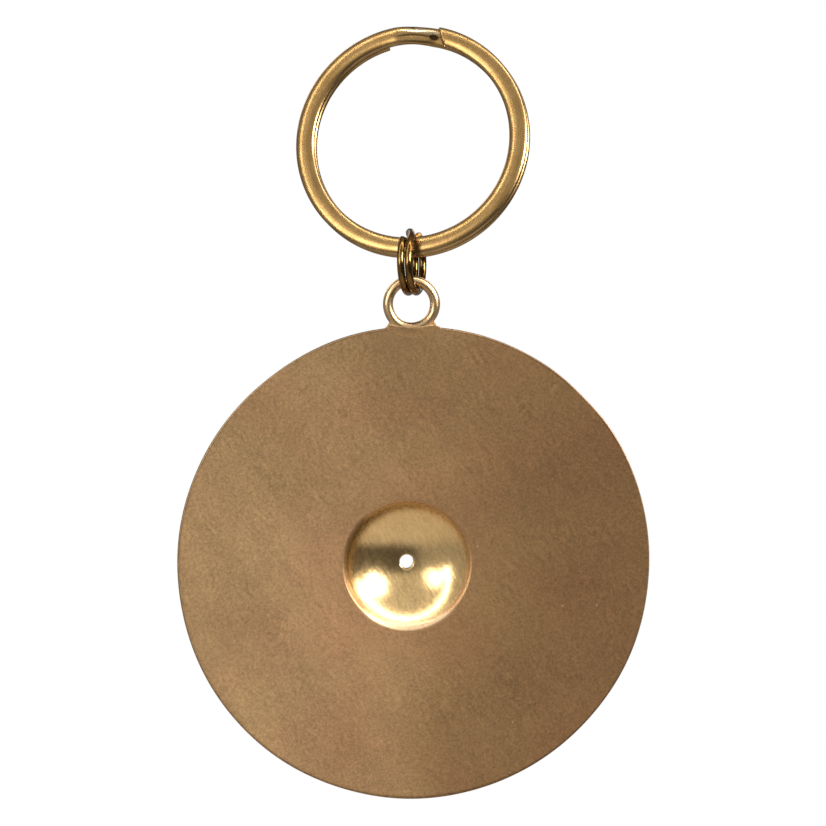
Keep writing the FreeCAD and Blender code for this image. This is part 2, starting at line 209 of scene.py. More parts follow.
def coil_piece(name, coil, section, centre, axes, material):
    """A split ring, swept along its wire from the lower turn's free end to the upper's."""
    angle, inset, slant = (values[:, None] for values in rounded_ends(coil))
    across, through = section.T
    a = across * (1 - inset / across.max())
    b = through * (1 - inset / through.max())

    _, crossing_low, crossing_high, _ = coil.angles
    passed = (angle - crossing_low) / (crossing_high - crossing_low)
    share = smoothstep(passed)
    level = coil.planes[0] + (coil.planes[1] - coil.planes[0]) * share
    hump = np.sin(math.pi * np.clip(passed, 0, 1)) ** 2
    fold = (coil.crease * smoothstep(hump * 3)
            * np.exp(-((a - FOLD_PLACE) / FOLD_WIDTH) ** 2))
    b = b - fold * (b > 0)

    lean = np.radians(coil.twist) * hump
    theta = np.radians(angle) - slant * a / across.max() / coil.radius
    reach = coil.radius + a * np.cos(lean) + b * np.sin(lean)
    rise = b * np.cos(lean) - a * np.sin(lean) + level
    local = np.stack([reach * np.cos(theta), reach * np.sin(theta), rise], axis=-1)

    along = np.broadcast_to(np.radians(angle) * coil.radius, a.shape)
    strip = np.stack([along, a, b * (2 * share - 1)], axis=-1)

    rows, columns = a.shape
    faces = grid_faces(rows, columns, wrap_rows=False, wrap_columns=True)
    faces.append(list(range(columns - 1, -1, -1)))
    faces.append(list(range((rows - 1) * columns, rows * columns)))
    add_piece(name, centre + local @ np.array(axes), faces, material, strip)


def key_ring(material):
    section = barrel_section(KEY_HALF_WIDTH, KEY_HALF_DEPTH, KEY_SQUARENESS)
    coil_piece("key_ring_coils", KEY_COIL, section, KEY_CENTRE, KEY_AXES, material)


def small_ring(material):
    section = round_section(LINK_WIRE, 26)
    coil_piece("small_ring_coils", LINK_COIL, section, LINK_CENTRE, LINK_AXES, material)


def eye_ring(material):
    """A closed wire ring, a little out of round and a little to the left, of uneven wire."""
    rows, columns = 180, 36
    angle = full_turn(rows)[:, None]
    swell = 1 + 0.012 * np.sin(2 * angle + 0.4) + 0.008 * np.sin(5 * angle + 2.0)
    a, b = (part * swell for part in round_section(EYE_WIRE, columns, 0.006).T)
    reach = a + (EYE_RADIUS - 0.12 * np.cos(angle) + 0.015 * np.cos(2 * angle + 1.1)
                 + 0.010 * np.cos(3 * angle))
    local = np.stack([reach * np.cos(angle), reach * np.sin(angle), b], axis=-1)
    strip = np.stack([np.broadcast_to(angle * EYE_RADIUS, a.shape), a, b], axis=-1)
    add_piece("eye_wire", EYE_CENTRE + local @ np.array(EYE_AXES),
              grid_faces(rows, columns, wrap_rows=True, wrap_columns=True), material, strip)


# The gong's sheet.

DISC_RADIUS = 25.0
OUTLINE_SHIFT = np.array([0.38, 0.36])
OUTLINE_GROWTH = 0.05
FLAT_SPOT_DEPTH = 0.13  # where the cut edge runs a little straight
# Departures of the outline and slopes of the warp's creases, by how many times each repeats round
# the disc: cosine, then sine.
OUTLINE_WAVES = {2: (-0.074, 0.010), 3: (-0.038, 0.023), 4: (-0.022, 0.001), 5: (-0.012, 0.001),
                 6: (-0.013, -0.025), 11: (0.0, 0.012)}
CREASES = {2: (-0.025, -0.005), 3: (-0.0068, -0.0082), 4: (0.0035, -0.0019), 5: (0.0050, 0.0018),
           6: (-0.0023, 0.0011)}
# The sheet's dents: depth, waves along X and Z in radians per mm, and phase.
DENTS = ((0.010, 0.55, 0.31, 1.0), (0.008, 0.23, -0.62, 2.0), (0.005, 1.15, 0.80, 0.0),
         (0.004, 0.92, -1.31, 0.5))

BLANK_RADIUS, BOW_RADIUS = 26.5, 500.0
FRONT_ROUNDING, BACK_ROUNDING = 0.20, 0.5  # of the boss's rim
LOWER_ROUNDING = 0.26  # more at the bottom of the front's rim
BOSS_DRIFT = (-0.26, 0.16)
HOLE_BEVEL, EDGE_ROUND = 0.07, 0.10
RIM_FROM, RIM_TO, FLAT_FROM = 6.2, 7.3, 8.0  # where rows of points are close, then follow the edge


def smooth_max(first, second, width):
    blend = np.maximum(width - np.abs(first - second), 0) / width
    return np.maximum(first, second) + blend * blend * width / 4


def waves(angle, sizes):
    return sum(cosine * np.cos(turns * angle) + sine * np.sin(turns * angle)
               for turns, (cosine, sine) in sizes.items())


def near_direction(angle, direction, width):
    """1 in a direction of the disc, in degrees, and fading to 0 on both sides of it."""
    return np.exp(-((np.degrees(angle) - direction) / width) ** 2)


def bow_depth(radius):
    """Depth of the front face outside the boss, along a long arc from the blank's edge."""
    slant = BLANK_RADIUS - BOSS_RIM
    share = (BLANK_RADIUS - radius) / slant
    return BOW_DEPTH * share + share * (1 - share) * slant ** 2 / 2 / BOW_RADIUS


def sphere_depth(radius, size):
    return BOSS_CENTRE_DEPTH + np.sqrt(np.maximum(size ** 2 - radius ** 2, 0.01))


def front_depth(radius, rounding=FRONT_ROUNDING):
    return smooth_max(sphere_depth(radius, BOSS_RADIUS), bow_depth(radius), rounding)


def back_depth(radius):
    return smooth_max(sphere_depth(radius, BOSS_RADIUS + THICKNESS),
                      bow_depth(radius) + THICKNESS, BACK_ROUNDING)


def drift(radius):
    """Share of the boss's small offset from its hole, fading out over the flat of the disc."""
    return smoothstep(radius / 3) * (1 - smoothstep((radius - FLAT_FROM) / 8))


def warp(radius, angle):
    """Departures from the spun form: slow creases that fan out from the boss, and dents.

    The creases die away towards the eye, at 90 degrees, so that the braze meets a true edge.
    """
    held_flat = smoothstep((radius - 10) / 15) * near_direction(angle, 90, 15)
    fan = (waves(angle, CREASES) * np.maximum(radius - BOSS_RIM - 0.6, 0)
           * (1 - 0.95 * held_flat))
    x, z = radius * np.cos(angle), radius * np.sin(angle)
    dents = sum(depth * np.sin(wave_x * x + wave_z * z + phase)
                for depth, wave_x, wave_z, phase in DENTS)
    return fan + dents * smoothstep((radius - BOSS_RIM) / 3)


def outline_radius(angle):
    """Distance of the disc's edge from the boss's axis: a hand-cut circle, off centre."""
    own = (DISC_RADIUS + OUTLINE_GROWTH - FLAT_SPOT_DEPTH * near_direction(angle, 44, 7)
           + waves(angle, OUTLINE_WAVES))
    shift = OUTLINE_SHIFT[0] * np.cos(angle) + OUTLINE_SHIFT[1] * np.sin(angle)
    return shift + np.sqrt(own ** 2 - OUTLINE_SHIFT @ OUTLINE_SHIFT + shift ** 2)


def gong_disc(material):
    """One closed skin: out along the front, round the edge, in along the back, through the hole."""
    columns = 420
    angle = full_turn(columns)
    rim_rounding = FRONT_ROUNDING + LOWER_ROUNDING * near_direction(angle, 268, 27)
    bevelled_radius = HOLE_RADIUS + HOLE_BEVEL
    reach = outline_radius(angle) - EDGE_ROUND

    inner = np.concatenate([np.linspace(bevelled_radius, RIM_FROM, 26),
                            np.linspace(RIM_FROM + 0.08, RIM_TO, 26),
                            np.linspace(RIM_TO + 0.10, FLAT_FROM, 5)])
    spread = [np.full(columns, value) for value in inner]
    spread += [FLAT_FROM + (reach - FLAT_FROM) * share for share in np.linspace(0, 1, 58)[1:]]
    edge_turns = np.linspace(0, math.pi / 2, 6)[1:]
    hole_turns = np.linspace(0, math.pi / 2, 4)[1:]

    rows = [(radius, front_depth(radius, rim_rounding) + warp(radius, angle)) for radius in spread]
    for depth, turns, inward in ((front_depth, edge_turns, 1), (back_depth, edge_turns[::-1], -1)):
        for turn in turns:
            radius = reach + EDGE_ROUND * math.sin(turn)
            rows.append((radius, depth(radius) + warp(radius, angle)
                         + inward * EDGE_ROUND * (1 - math.cos(turn))))
    rows += [(radius, back_depth(radius) + warp(radius, angle)) for radius in spread[::-1]]
    for depth, turns, inward in ((back_depth, hole_turns, -1), (front_depth, hole_turns[::-1], 1)):
        for turn in turns:
            rows.append((HOLE_RADIUS + HOLE_BEVEL * (1 - math.sin(turn)),
                         depth(bevelled_radius) + inward * HOLE_BEVEL * (1 - math.cos(turn))))

    radius, depth = (np.stack([np.broadcast_to(part, (columns,)) for part in parts])
                     for parts in zip(*rows))
    x = radius * np.cos(angle) + BOSS_DRIFT[0] * drift(radius)
    z = radius * np.sin(angle) + BOSS_DRIFT[1] * drift(radius)
    faces = grid_faces(len(rows), columns, wrap_rows=True, wrap_columns=True)
    add_piece("gong_sheet", BOSS_AXIS + np.stack([x, depth, z], axis=-1), faces, material)


# The braze, from the eye's centre.

BRAZE_HALF_WIDTH = 2.86
# Its upper edge, as X and Z.
BRAZE_TOP = ((-2.86, -2.52), (-2.62, -2.34), (-2.50, -2.10), (-2.42, -1.88), (-2.25, -1.84),
             (-1.95, -1.95), (-1.2, -2.05), (0.0, -2.18), (1.2, -2.04), (1.95, -1.96),
             (2.25, -1.90), (2.36, -2.04), (2.50, -2.28), (2.80, -2.44))
WIRE_FRONT = 0.40  # how far before and behind the eye's plane its wire is washed over
FOOT_FRONT = 0.55  # and how far before it the foot of the fillet stands


def braze_joint(material):
    """A washed-over fillet: flared feet on the disc's edge, climbing the eye's lowest wire."""
    columns, rows = 84, 33
    across = np.linspace(-1, 1, columns)
    x = across * BRAZE_HALF_WIDTH
    knots_x, knots_z = np.array(BRAZE_TOP).T
    top = np.interp(x, knots_x, knots_z) + 0.02 * np.sin(9 * x) + 0.012 * np.sin(21 * x + 1)
    bottom = -2.55 - 1.35 * np.sqrt(np.maximum(1 - across ** 2, 0))
    share = np.linspace(0, 1, rows)[:, None]
    z = bottom + (top - bottom) * share
    x = np.broadcast_to(x, z.shape)

    # The sheet's faces under the braze, from the eye's plane.
    from_axis = EYE_CENTRE - BOSS_AXIS
    radial = np.hypot(x + from_axis[0], z + from_axis[2])
    spin = np.arctan2(z + from_axis[2], x + from_axis[0])
    disc_front = front_depth(radial) + warp(radial, spin) - from_axis[1]
    disc_back = back_depth(radial) + warp(radial, spin) - from_axis[1]

    # It tucks into the sheet at its lower edge and ends, and climbs the wire towards its top.
    tuck = smoothstep(1.25 - share / 0.36) + smoothstep(1 - (1 - np.abs(across)) / 0.12)
    tuck = np.minimum(tuck, 1)
    climb = smoothstep((share - 0.55) / 0.40)
    front = disc_front - 0.015 + 0.06 * tuck + (-WIRE_FRONT - disc_front) * climb
    back = disc_back + 0.03 - 0.07 * tuck + (WIRE_FRONT - disc_back) * climb

    # Below a wavy line the fillet runs over the wire's foot, and thins out away from the wire.
    flow_line = -2.28 + 0.03 * x ** 2 + 0.02 * np.sin(5 * x)
    flooded = (smoothstep((flow_line - z + 0.06) / 0.16)
               * (1 - smoothstep((np.hypot(x, z) - 2.45) / 1.40)))
    front = front + (np.minimum(front, -FOOT_FRONT) - front) * flooded

    middle, half = (front[-1] + back[-1]) / 2, (back[-1] - front[-1]) / 2
    cap = [np.stack([x[-1], middle - half * math.cos(turn), z[-1] + 0.05 * math.sin(turn)], axis=-1)
           for turn in np.linspace(0, math.pi, 7)[1:-1]]
    local = np.concatenate([np.stack([x, front, z], axis=-1), np.array(cap),
                            np.stack([x, back, z], axis=-1)[::-1]])
    count = len(local)
    faces = grid_faces(count, columns, wrap_rows=True, wrap_columns=False)
    faces.append([row * columns for row in range(count)])
    faces.append([row * columns + columns - 1 for row in range(count - 1, -1, -1)])
    add_piece("braze_fillet", EYE_CENTRE + local, faces, material)


# Materials.

class Graph:
    """Short calls that add nodes to a node tree and return their output sockets."""

    def __init__(self, tree):
        self.tree = tree
        tree.nodes.clear()

    def node(self, kind, inputs=None, **settings):
        made = self.tree.nodes.new(kind)
        for key, value in settings.items():
            setattr(made, key, value)
        for key, value in (inputs or {}).items():
            if isinstance(value, bpy.types.NodeSocket):
                self.tree.links.new(value, made.inputs[key])
            else:
                made.inputs[key].default_value = value
        return made

    def maths(self, operation, first, second=0.0, third=0.0):
        return self.node("ShaderNodeMath", {0: first, 1: second, 2: third},
                         operation=operation).outputs[0]

    def add(self, *terms):
        return functools.reduce(functools.partial(self.maths, "ADD"), terms)

    def times(self, *factors):
        return functools.reduce(functools.partial(self.maths, "MULTIPLY"), factors)

    def vector(self, operation, first, second):
        key = "Scale" if operation == "SCALE" else 1
        return self.node("ShaderNodeVectorMath", {0: first, key: second},
                         operation=operation).outputs["Vector"]

    def length(self, place):
        return self.node("ShaderNodeVectorMath", {0: place}, operation="LENGTH").outputs["Value"]

    def split(self, place):
        return self.node("ShaderNodeSeparateXYZ", {"Vector": place}).outputs

    def grey(self, value):
        return self.node("ShaderNodeCombineColor", {
            "Red": value, "Green": value, "Blue": value}).outputs[0]

    def place_in_mm(self, origin=(0.0, 0.0, 0.0)):
        """The object's own coordinates, in millimetres from an origin."""
        place = self.node("ShaderNodeTexCoord").outputs["Object"]
        shifted = self.vector("SUBTRACT", place, tuple(np.array(origin) * MM))
        return self.vector("SCALE", shifted, 1 / MM)

    def noise(self, place, scale, detail=2.0, roughness=0.5):
        return self.node("ShaderNodeTexNoise", {
            "Vector": place, "Scale": scale, "Detail": detail, "Roughness": roughness}).outputs[0]

    def patches(self, place, shift, scale, low, high, least=0.0):
        """Soft patches of noise: 1 inside them, least outside."""
        moved = self.vector("ADD", place, shift)
        return self.remap(self.noise(moved, scale), low, high, least, 1.0)

    def stretched(self, place, scale, turn=0.0, shift=(0.0, 0.0, 0.0)):
        """A point turned about Y by degrees and shifted, then scaled along each axis."""
        turned = self.node("ShaderNodeMapping", {
            "Vector": place, "Rotation": (0.0, math.radians(turn), 0.0),
            "Location": shift}).outputs[0]
        return self.vector("MULTIPLY", turned, scale)

    def remap(self, value, low, high, to_low=0.0, to_high=1.0):
        return self.node("ShaderNodeMapRange", {
            "Value": value, "From Min": low, "From Max": high, "To Min": to_low,
            "To Max": to_high}, interpolation_type="SMOOTHSTEP").outputs[0]

    def blend(self, share, first, second):
        """A number between two others."""
        rest = self.maths("SUBTRACT", 1.0, share)
        return self.add(self.times(first, rest), self.times(second, share))

    def weigh(self, *terms):
        """Weighted sum of noises, each centred on 0.5."""
        total = 0.0
        for socket, weight in terms:
            total = self.maths("MULTIPLY_ADD", self.maths("SUBTRACT", socket, 0.5), weight, total)
        return total

    def mix(self, share, first, second, blend="MIX"):
        """A colour between two others, or blended from them in another way."""
        made = self.tree.nodes.new("ShaderNodeMix")
        made.data_type, made.blend_type = "RGBA", blend
        for socket, value in zip((made.inputs[0], made.inputs[6], made.inputs[7]),
                                 (share, first, second)):
            if isinstance(value, bpy.types.NodeSocket):
                self.tree.links.new(value, socket)
            elif socket.type == "RGBA":
                socket.default_value = (*value, 1.0)
            else:
                socket.default_value = value
        return made.outputs[2]

    def finish_metal(self, colour, tone, roughness, height, distance):
        """The metal's shader. tone scales its colour, and distance is the bump's, in mm."""
        bump = self.node("ShaderNodeBump", {
            "Height": height, "Distance": distance * MM, "Strength": 1.0})
        shader = self.node("ShaderNodeBsdfPrincipled", {
            "Base Color": self.mix(1.0, colour, self.grey(tone), "MULTIPLY"), "Metallic": 1.0,
            "Roughness": roughness, "Normal": bump.outputs[0]})
        self.node("ShaderNodeOutputMaterial", {"Surface": shader.outputs[0]})


def new_material(name):
    material = bpy.data.materials.new(name)
    material.use_nodes = True
    return material, Graph(material.node_tree)


# The first two are a lit and a shaded copy of the sheet's bronze, for painted shade.
SHEET_LIT = (0.575, 0.358, 0.170)
SHEET_SHADED = (0.375, 0.215, 0.096)
SHEET_PINK = (1.0, 0.93, 0.96)
SHEET_PALE = (0.75, 0.48, 0.25)
BOSS_COLOUR = (0.76, 0.515, 0.23)
LIP_HIGHLIGHT_COLOUR = (0.95, 0.72, 0.44)
PAINTED_SHADE_SIDE = (0.98, 0.0, -0.17)  # painted shade: the sheet's colour goes from lit to shaded this way
SHEET_TONE, BRAZE_TONE = 1.03, 1.08
SHEET_BUMP = 0.0045

# The rubbed strokes' three directions: how tightly the noise is drawn along each axis, its turn
# about Y in degrees, and a shift that sets it apart from the others.
STROKES = (((0.55, 1.0, 2.7), -46, (0, 0, 0)), ((0.60, 1.0, 2.8), -70, (7, 3, 1)),
           ((2.7, 1.0, 0.6), -35, (2, 9, 4)))


def rubbed_strokes(graph, place):
    """Short strokes in two directions, patch by patch, crossed here and there by a third."""
    bend = graph.node("ShaderNodeTexNoise", {"Vector": place, "Scale": 0.15, "Detail": 1.0})
    bent = graph.vector("ADD", place, graph.vector("SCALE", bend.outputs[1], 1.2))
    first, second, third = (graph.noise(graph.stretched(bent, *stroke), 1.0, 1.0)
                            for stroke in STROKES)
    turned = graph.patches(place, (0.0, 0.0, 0.0), 0.28, 0.44, 0.56)
    crossed = graph.patches(place, (31.0, 5.0, 12.0), 0.33, 0.58, 0.64)
    rubbed = graph.patches(place, (9.0, 17.0, 3.0), 0.36, 0.45, 0.60, 0.20)
    strokes = graph.blend(crossed, graph.blend(turned, first, second), third)
    return graph.blend(rubbed, 0.5, strokes)


def pale_specks(graph, place):
    """Small pale specks, in about a quarter of the cells of a scattered grid."""
    cells = graph.node("ShaderNodeTexVoronoi", {"Vector": place, "Scale": 0.55}).outputs
    chance = graph.node("ShaderNodeSeparateColor", {"Color": cells["Color"]}).outputs[0]
    return graph.times(graph.remap(cells["Distance"], 0.10, 0.03),
                       graph.maths("GREATER_THAN", chance, 0.72))


def add_boss_looks(graph, place, grain, strokes, looks):
    """The gong's own looks over the sheet's: its polished boss, with painted light round its middle
    and on its lip, and painted shade on its wall, its rim and the disc's edge.
    """
    colour, tone, roughness, height = looks
    x, _, z = graph.split(place)
    flat = graph.node("ShaderNodeCombineXYZ", {"X": x, "Z": z}).outputs[0]
    radius = graph.length(graph.vector("SUBTRACT", flat, (BOSS_DRIFT[0], 0.0, BOSS_DRIFT[1])))
    reach = graph.length(graph.vector("SUBTRACT", flat, (OUTLINE_SHIFT[0], 0.0, OUTLINE_SHIFT[1])))

    boss = graph.remap(radius, 6.71, 6.15)
    hatch = graph.noise(graph.stretched(place, (3.6, 1.0, 0.75), 27), 1.0, 1.5)
    # Painted highlight: the boss's lower rim is painted pale cream, where the lamps' arch shines on
    # it.
    lip_highlight = graph.times(graph.remap(radius, 7.20, 6.85), graph.remap(z, -4.2, -6.0))
    colour = graph.mix(graph.times(lip_highlight, 0.55), colour, LIP_HIGHLIGHT_COLOUR)
    colour = graph.mix(boss, colour, BOSS_COLOUR)
    roughness = graph.add(roughness, graph.times(boss, -0.24))
    height = graph.blend(boss, height, graph.weigh((hatch, 2.0), (grain, 0.5), (strokes, 0.5)))

    # Painted light: the sheet is paler round the boss, under it and near the top, and a little
    # darker far out.
    wear_and_sheen = graph.remap(radius, 7.0, 19.0, 0.15, -0.035)
    from_middle = graph.maths("ABSOLUTE", graph.add(x, 1.2))
    under = graph.times(graph.remap(from_middle, 6.0, 0.5, 0.0, 0.09), graph.remap(z, -6.5, -9.0))
    near_top = graph.remap(z, 6.0, 20.0, 0.0, 0.08)
    hatched = graph.times(boss, 0.50, graph.maths("SUBTRACT", hatch, 0.5))
    tone = graph.add(tone, wear_and_sheen, under, near_top, hatched)

    # Painted shade: the boss's left wall, its rim and the disc's edge are darkened.
    wall_shade = graph.times(graph.remap(radius, 6.00, 6.35), graph.remap(radius, 6.98, 6.86),
                       graph.remap(x, -3.9, -5.3))
    tone = graph.times(tone, graph.maths("MULTIPLY_ADD", wall_shade, -0.42, 1.0))
    rim_shade = graph.remap(graph.maths("ABSOLUTE", graph.maths("SUBTRACT", radius, 6.70)), 0.25, 0.0)
    edge = graph.remap(reach, DISC_RADIUS - 0.22, DISC_RADIUS - 0.06)
    tone = graph.add(tone, graph.times(rim_shade, -0.08), graph.times(edge, -0.35))
    return colour, tone, roughness, height


def sheet_bronze(name, has_boss):
    """Satin bronze with patches of short rubbed strokes, and a smoother, yellower boss."""
    material, graph = new_material(name)
    place = graph.place_in_mm(BOSS_AXIS)
    strokes = rubbed_strokes(graph, place)
    grain = graph.noise(place, 3.4, 2.0, 0.6)
    fine = graph.noise(place, 4.8, 2.0, 0.7)
    clouds = graph.noise(place, 0.11, 3.0)

    # Painted shade: the sheet and the braze go from a lit to a shaded colour towards the right and
    # a little down, with a cloudy border.
    toward_shade = graph.node("ShaderNodeVectorMath", {0: place, 1: PAINTED_SHADE_SIDE},
                       operation="DOT_PRODUCT").outputs["Value"]
    toward_shade = graph.add(graph.weigh((clouds, 8.0)), toward_shade)
    colour = graph.mix(graph.remap(toward_shade, -19.0, 17.0), SHEET_LIT, SHEET_SHADED)
    pink = graph.patches(place, (3.0, 8.0, 40.0), 0.10, 0.36, 0.68)
    colour = graph.mix(pink, colour, graph.mix(1.0, colour, SHEET_PINK, "MULTIPLY"))
    colour = graph.mix(graph.times(pale_specks(graph, place), 0.5), colour, SHEET_PALE)

    tone = graph.weigh((strokes, 0.22), (grain, 0.43), (fine, 0.42), (clouds, 0.08))
    tone = graph.add(tone, SHEET_TONE if has_boss else BRAZE_TONE)
    roughness = graph.add(graph.weigh((clouds, 0.05), (strokes, 0.08), (grain, 0.10)), 0.44)
    height = graph.weigh((strokes, 0.68), (grain, 0.50), (fine, 0.28))
    looks = (colour, tone, roughness, height)
    if has_boss:
        looks = add_boss_looks(graph, place, grain, strokes, looks)
    graph.finish_metal(*looks, SHEET_BUMP)
    return material


# Spots on the key ring's strip, as arc length and place across it, half sizes and darkness: painted
# shadow in the pit where the crossing dives under the free end, painted shade along the fold of the
# crossing, and a small dark mark near its outer edge. Then the polished edge of the crossing,
# painted paler as a painted highlight. They have no depth, so they show on the strip's back as
# well.
DARK_SPOTS = (((16.62, -0.10, 0), (0.50, 0.31, 1), 0.85), ((18.7, -0.10, 0), (1.9, 0.12, 1), 0.62),
              ((18.85, 0.72, 0), (0.16, 0.22, 1), 0.6))
POLISH_AND_HIGHLIGHT = ((18.0, 0.42, 0), (1.90, 0.30, 1))


def add_strip_looks(graph, strip, wear_and_sheen, looks):
    """The key ring's own looks: worn edges, painted shade between its coils and along its outline,
    and spots.
    """
    base, tone, rough = looks
    along, across, through = graph.split(strip)
    from_middle = graph.maths("ABSOLUTE", across)
    edge = graph.remap(from_middle, 0.72, 0.97)
    front = graph.remap(through, 0.10, 0.42)
    base = graph.mix(graph.times(edge, front, 0.45), base, wear_and_sheen)
    # Painted shade on the faces where the coils meet, and a painted dark outline along the strip's
    # two edges.
    groove = graph.remap(through, -0.20, -0.46)
    outline = graph.remap(from_middle, 0.93, 0.99)
    tone = graph.add(tone, graph.times(groove, -0.45), graph.times(outline, -0.40))
    arc = graph.node("ShaderNodeCombineXYZ", {"X": along, "Y": across}).outputs[0]

    def spot(middle, size):
        away = graph.vector("DIVIDE", graph.vector("SUBTRACT", arc, middle), size)
        return graph.remap(graph.length(away), 1.2, 0.8)

    # Painted shadow and shade at the dark spots.
    for middle, size, darkness in DARK_SPOTS:
        tone = graph.times(tone, graph.maths("MULTIPLY_ADD", spot(middle, size), -darkness, 1.0))
    # The polished patch: smoother, and painted paler as a painted highlight.
    shine = spot(*POLISH_AND_HIGHLIGHT)
    base = graph.mix(graph.times(shine, 0.8), base, wear_and_sheen)
    rough = graph.add(rough, graph.times(shine, -0.10), graph.times(groove, 0.15))
    return base, tone, rough


def drawn_brass(name, colour, deep, roughness, streak, bump, wear_and_sheen=None, inner_shade=0.0):
    """Polished wire with lengthwise streaks and painted shade on its inner side, or the key ring's
    worn strip.
    """
    material, graph = new_material(name)
    strip = graph.node("ShaderNodeAttribute", attribute_name="strip",
                       attribute_type="GEOMETRY").outputs["Vector"]
    place = graph.place_in_mm()
    streaks = graph.noise(graph.stretched(strip, (0.35, 7.0, 7.0)), 1.0, 3.0, 0.55)
    hairlines = graph.noise(graph.stretched(strip, (0.9, 17.0, 17.0)), 1.0, 2.0, 0.6)
    grain = graph.noise(place, 6.5, 3.0, 0.6)
    clouds = graph.noise(place, 0.55)
    dents = graph.noise(place, 1.7, 1.5)

    base = graph.mix(graph.remap(clouds, 0.35, 0.68), colour, deep)
    tone = graph.weigh((streaks, streak), (hairlines, streak * 0.8), (grain, streak * 0.8))
    tone = graph.add(tone, 1.0)
    rough = graph.add(graph.weigh((streaks, 0.14), (grain, 0.12), (clouds, 0.12)), roughness)
    if wear_and_sheen:
        base, tone, rough = add_strip_looks(graph, strip, wear_and_sheen, (base, tone, rough))
    else:
        # Painted shade on the wire's inner side.
        across = graph.split(strip)[1]
        tone = graph.maths("SUBTRACT", tone, graph.remap(across, 0.05, -0.25, 0.0, inner_shade))
    height = graph.weigh((streaks, 0.8), (hairlines, 0.25), (grain, 0.3), (dents, 1.6))
    graph.finish_metal(base, tone, rough, height, bump)
    return material


# Camera, lights, surroundings and floor.

AIM = (-1.36, -6.54, -38.34)
CAMERA_TO = (-0.0909, -0.9889, 0.1175)
CAMERA_DISTANCE = 900.0
PICTURE_WIDTH = 86.98  # at the aim
SENSOR = 36.0
CLIP = (0.01, 10)  # metres


def add_camera():
    data = bpy.data.cameras.new("camera")
    data.sensor_width = SENSOR
    data.lens = SENSOR * CAMERA_DISTANCE / PICTURE_WIDTH
    data.clip_start, data.clip_end = CLIP
    camera = bpy.data.objects.new("camera", data)
    toward = Vector(CAMERA_TO).normalized()
    camera.location = (Vector(AIM) + toward * CAMERA_DISTANCE) * MM
    camera.rotation_mode = "QUATERNION"
    camera.rotation_quaternion = (-toward).to_track_quat("-Z", "Y")
    bpy.context.scene.collection.objects.link(camera)
    bpy.context.scene.camera = camera


def compass(azimuth, elevation):
    """A direction. Azimuth 0 is -Y, and 90 is +X."""
    azimuth, elevation = math.radians(azimuth), math.radians(elevation)
    return (math.sin(azimuth) * math.cos(elevation), -math.cos(azimuth) * math.cos(elevation),
            math.sin(elevation))


def round_axis(off_axis, turn):
    """A direction by its angle from -Y, and its turn about that axis from +X towards +Z."""
    off_axis, turn = math.radians(off_axis), math.radians(turn)
    return (math.sin(off_axis) * math.cos(turn), -math.cos(off_axis),
            math.sin(off_axis) * math.sin(turn))


# Lamps face the boss's axis from this far away, and their widths and heights are in metres too.
LIGHT_DISTANCE = 0.6
# The soft boxes in front: direction, direction of the width, width, height, and the radiance of
# the box and of a larger, dimmer halo round it.
FRONT_BOXES = {"right": (compass(51, 20), (-1, -1, 0), 0.26, 0.21, 29.0, 1.6),
               "left": (compass(-37, 15), (-1, 1, 0), 0.23, 0.22, 4.4, 0.9)}
HALO_SIZE = 1.35
# The soft boxes behind: direction, width, height, radiance.
BACK_BOXES = {"back_left": (compass(215, 28), 0.35, 0.30, 1.6),
              "back_right": (compass(150, 22), 0.30, 0.30, 1.2)}
# The arch of lamps over the front: angle off -Y, turn, thickness, radiance.
ARCH = ((77, 14, 0.06, 5.0), (76, 28, 0.10, 6.0), (75, 50, 0.08, 8.0), (75, 78, 0.055, 9.0),
        (72, 108, 0.045, 9.0), (65, 138, 0.055, 8.0), (57, 166, 0.04, 7.0), (56, 178, 0.02, 6.0),
        (48, 170, 0.04, 5.0))
ARCH_LAMPS, ARCH_LAMP_WIDTH = 19, 0.12


def add_softbox(name, toward, along, width, height, radiance, shape="RECTANGLE"):
    """An area light that faces the boss's axis from a direction, its width along another."""
    toward = Vector(toward).normalized()
    along = Vector(along)
    along = (along - along.dot(toward) * toward).normalized()
    data = bpy.data.lights.new(name, "AREA")
    data.shape, data.size, data.size_y = shape, width, height
    area = width * height * (math.pi / 4 if shape == "ELLIPSE" else 1)
    data.energy = radiance * math.pi * area
    lamp = bpy.data.objects.new(name, data)
    turn = Matrix((along, toward.cross(along), toward)).transposed().to_4x4()
    lamp.matrix_world = Matrix.Translation(Vector(BOSS_AXIS * MM) + toward * LIGHT_DISTANCE) @ turn
    bpy.context.scene.collection.objects.link(lamp)


def add_lights():
    for name, (toward, along, width, height, core, halo) in FRONT_BOXES.items():
        add_softbox(f"softbox_{name}", toward, along, width, height, core, "ELLIPSE")
        add_softbox(f"halo_{name}", toward, along, width * HALO_SIZE, height * HALO_SIZE, halo,
                    "ELLIPSE")

    # The arch's lamps follow its stations, smoothed along the arch.
    stations = np.arange(len(ARCH))
    steps = np.linspace(0, len(ARCH) - 1, ARCH_LAMPS)
    kernel = np.array([0.25, 0.5, 0.25])
    curve = [np.convolve(np.pad(np.interp(steps, stations, part), 1, mode="edge"), kernel, "valid")
             for part in zip(*ARCH)]
    for number, (off_axis, turn, thick, radiance) in enumerate(zip(*curve)):
        add_softbox(f"arch_{number}", round_axis(off_axis, turn), round_axis(90, turn + 90),
                    ARCH_LAMP_WIDTH, thick, radiance)

    for name, (toward, width, height, radiance) in BACK_BOXES.items():
        add_softbox(f"softbox_{name}", toward, (1, 0, 0), width, height, radiance)


